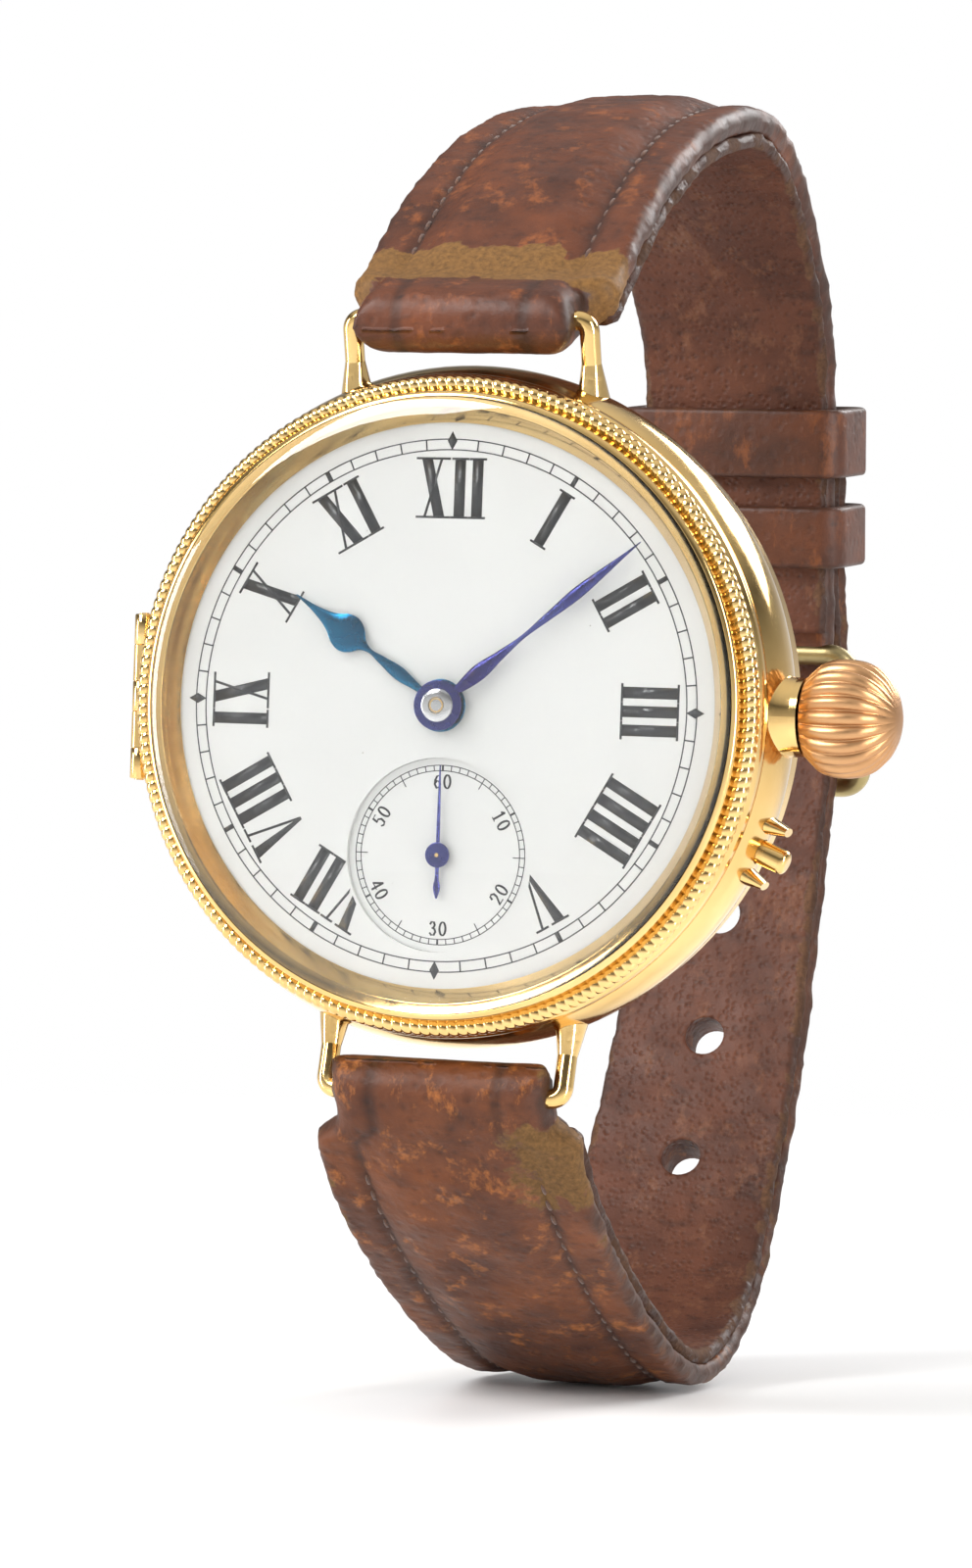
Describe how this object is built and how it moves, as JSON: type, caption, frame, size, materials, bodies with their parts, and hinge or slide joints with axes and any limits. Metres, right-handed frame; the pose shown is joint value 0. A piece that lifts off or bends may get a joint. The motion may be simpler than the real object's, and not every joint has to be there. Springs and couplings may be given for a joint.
{
  "type": "open face watch on a strap",
  "caption": "Round hinged gold watch case with enamel dial, seconds dial, onion crown and hand-wound movement, on a closed padded leather strap with buckle.",
  "frame": {"origin": "on the dial's axis, in the middle of the opening that a wrist fills, half way from the case back to the strap behind the wrist", "axes": "+Z towards 12 o'clock, the dial faces -Y, +X towards the crown at 3 o'clock"},
  "size_m": [0.0395, 0.0549, 0.0677],
  "materials": {
    "yellow_gold": "polished",
    "rose_gold": "satin",
    "crystal_glass": "clear",
    "polished_steel": "polished",
    "white_enamel": "glossy",
    "blued_steel": "blued",
    "gilt_brass": "satin",
    "nickel_plate": "satin",
    "ruby": "polished",
    "strap_leather": "worn",
    "strap_lining": "suede"
  },
  "bodies": {
    "root": {"case_middle": "yellow_gold", "pin_guards": "yellow_gold", "bezel_hinge_pin": "yellow_gold", "back_hinge_pin": "yellow_gold", "upper_lug": "yellow_gold", "lower_lug": "yellow_gold", "pendant_tube": "yellow_gold", "dial": "white_enamel", "seconds_dial": "white_enamel", "dial_feet": "gilt_brass", "main_plate": "nickel_plate", "barrel_bridge": "nickel_plate", "train_bridge": "nickel_plate", "balance_cock": "nickel_plate", "pallet_cock": "nickel_plate", "jewels": "ruby", "bridge_screws": "polished_steel", "case_screws": "polished_steel", "crown_wheel_screw": "polished_steel", "setting_pivot": "polished_steel", "hairspring": "blued_steel", "upper_strap": "strap_leather", "upper_lining": "strap_lining", "lower_strap": "strap_leather", "lower_lining": "strap_lining", "fixed_keeper": "strap_leather"},
    "bezel_body": {"bezel": "yellow_gold", "crystal": "crystal_glass"},
    "back_body": {"case_back": "yellow_gold"},
    "cuvette_body": {"cuvette": "yellow_gold"},
    "crown_body": {"crown": "rose_gold", "winding_stem": "polished_steel", "winding_pinion": "polished_steel"},
    "clutch_body": {"sliding_clutch": "polished_steel"},
    "crown_wheel_body": {"crown_wheel": "polished_steel"},
    "ratchet_body": {"ratchet_wheel": "polished_steel", "ratchet_screw": "polished_steel", "barrel_arbor": "polished_steel"},
    "barrel_body": {"barrel": "gilt_brass", "mainspring": "blued_steel"},
    "click_body": {"click": "polished_steel"},
    "set_pin_body": {"set_pin": "yellow_gold"},
    "setting_lever_body": {"setting_lever": "polished_steel"},
    "centre_body": {"centre_wheel": "gilt_brass", "cannon_pinion": "polished_steel", "minute_hand": "blued_steel"},
    "hour_body": {"hour_wheel": "gilt_brass", "hour_hand": "blued_steel"},
    "minute_wheel_body": {"minute_wheel": "gilt_brass"},
    "third_body": {"third_wheel": "gilt_brass"},
    "fourth_body": {"fourth_wheel": "gilt_brass", "seconds_hand": "blued_steel"},
    "escape_body": {"escape_wheel": "polished_steel"},
    "pallet_body": {"pallet_fork": "polished_steel"},
    "balance_body": {"balance_wheel": "gilt_brass"},
    "regulator_body": {"regulator": "polished_steel"},
    "buckle_body": {"buckle_frame": "yellow_gold"},
    "tang_body": {"buckle_tang": "yellow_gold"},
    "free_keeper_body": {"free_keeper": "strap_leather"}
  },
  "joints": [
    {"name": "bezel_hinge", "type": "hinge", "parent": "root", "child": "bezel_body", "pos_m": [-0.0165, -0.02638, 0], "axis": [0, 0, -1], "range_deg": [0, 110]},
    {"name": "back_hinge", "type": "hinge", "parent": "root", "child": "back_body", "pos_m": [-0.0165, -0.02172, 0], "axis": [0, 0, 1], "range_deg": [0, 100]},
    {"name": "cuvette_hinge", "type": "hinge", "parent": "root", "child": "cuvette_body", "pos_m": [-0.0165, -0.02172, 0], "axis": [0, 0, 1], "range_deg": [0, 60]},
    {"name": "crown_spin", "type": "hinge", "parent": "root", "child": "crown_body", "pos_m": [0.018, -0.02405, 0], "axis": [1, 0, 0], "continuous": true},
    {"name": "crown_wheel_spin", "type": "hinge", "parent": "root", "child": "crown_wheel_body", "pos_m": [0.00845, -0.0221, 0], "axis": [0, 1, 0], "continuous": true},
    {"name": "ratchet_spin", "type": "hinge", "parent": "root", "child": "ratchet_body", "pos_m": [0.00314, -0.0221, 0.00544], "axis": [0, 1, 0], "continuous": true},
    {"name": "click_pivot", "type": "hinge", "parent": "root", "child": "click_body", "pos_m": [-0.00049, -0.0217, 0.01009], "axis": [0, 1, 0], "range_deg": [0, 12], "stiffness_Nm_per_rad": 0.000001},
    {"name": "set_pin_press", "type": "slide", "parent": "root", "child": "set_pin_body", "axis": [-0.9205, 0, 0.3907], "range_m": [0, 0.0006], "stiffness_N_per_m": 30},
    {"name": "setting_lever_pivot", "type": "hinge", "parent": "root", "child": "setting_lever_body", "pos_m": [0.0092, -0.02405, -0.0076], "axis": [0, -1, 0], "range_deg": [0, 11]},
    {"name": "clutch_slide", "type": "slide", "parent": "crown_body", "child": "clutch_body", "axis": [-1, 0, 0], "range_m": [0, 0.00105]},
    {"name": "minute_hand_spin", "type": "hinge", "parent": "root", "child": "centre_body", "pos_m": [0, -0.0231, 0], "axis": [0, 1, 0], "continuous": true},
    {"name": "hour_hand_spin", "type": "hinge", "parent": "root", "child": "hour_body", "pos_m": [0, -0.0261, 0], "axis": [0, 1, 0], "continuous": true},
    {"name": "minute_wheel_spin", "type": "hinge", "parent": "root", "child": "minute_wheel_body", "pos_m": [0.00212, -0.0259, 0.00212], "axis": [0, 1, 0], "continuous": true},
    {"name": "barrel_spin", "type": "hinge", "parent": "root", "child": "barrel_body", "pos_m": [0.00314, -0.0241, 0.00544], "axis": [0, 1, 0], "continuous": true},
    {"name": "third_wheel_spin", "type": "hinge", "parent": "root", "child": "third_body", "pos_m": [0.00214, -0.0241, -0.00408], "axis": [0, 1, 0], "continuous": true},
    {"name": "seconds_hand_spin", "type": "hinge", "parent": "root", "child": "fourth_body", "pos_m": [0, -0.0241, -0.00735], "axis": [0, 1, 0], "continuous": true},
    {"name": "escape_wheel_spin", "type": "hinge", "parent": "root", "child": "escape_body", "pos_m": [-0.00325, -0.0241, -0.0068], "axis": [0, 1, 0], "continuous": true},
    {"name": "pallet_rock", "type": "hinge", "parent": "root", "child": "pallet_body", "pos_m": [-0.00532, -0.0239, -0.00532], "axis": [0, 1, 0], "range_deg": [-5, 5]},
    {"name": "balance_swing", "type": "hinge", "parent": "root", "child": "balance_body", "pos_m": [-0.008, -0.0232, -0.0034], "axis": [0, 1, 0], "range_deg": [-135, 135], "stiffness_Nm_per_rad": 0.000000155},
    {"name": "regulator_turn", "type": "hinge", "parent": "root", "child": "regulator_body", "pos_m": [-0.008, -0.0217, -0.0034], "axis": [0, 1, 0], "range_deg": [-12, 12]},
    {"name": "buckle_rock", "type": "hinge", "parent": "root", "child": "buckle_body", "pos_m": [0, 0.02022, 0.00398], "axis": [1, 0, 0], "range_deg": [0, 2]},
    {"name": "tang_lift", "type": "hinge", "parent": "buckle_body", "child": "tang_body", "pos_m": [0, 0.02022, 0.00398], "axis": [1, 0, 0], "range_deg": [0, 8]},
    {"name": "keeper_slide", "type": "slide", "parent": "root", "child": "free_keeper_body", "axis": [0, -0.0958, 0.9954], "range_m": [-0.0012, 0.0012]}
  ],
  "couplings": [
    {"joint": "cuvette_hinge", "follows": "back_hinge", "ratio": 0.55},
    {"joint": "crown_wheel_spin", "follows": "crown_spin", "ratio": -0.5},
    {"joint": "ratchet_spin", "follows": "crown_spin", "ratio": 0.29167},
    {"joint": "setting_lever_pivot", "follows": "set_pin_press", "rad_per_m": 294},
    {"joint": "clutch_slide", "follows": "set_pin_press", "ratio": 1.68},
    {"joint": "minute_hand_spin", "follows": "seconds_hand_spin", "ratio": 0.016667},
    {"joint": "hour_hand_spin", "follows": "seconds_hand_spin", "ratio": 0.0013889},
    {"joint": "minute_wheel_spin", "follows": "seconds_hand_spin", "ratio": -0.0055556},
    {"joint": "barrel_spin", "follows": "seconds_hand_spin", "ratio": -0.0020833},
    {"joint": "third_wheel_spin", "follows": "seconds_hand_spin", "ratio": -0.13333},
    {"joint": "escape_wheel_spin", "follows": "seconds_hand_spin", "ratio": -10}
  ]
}
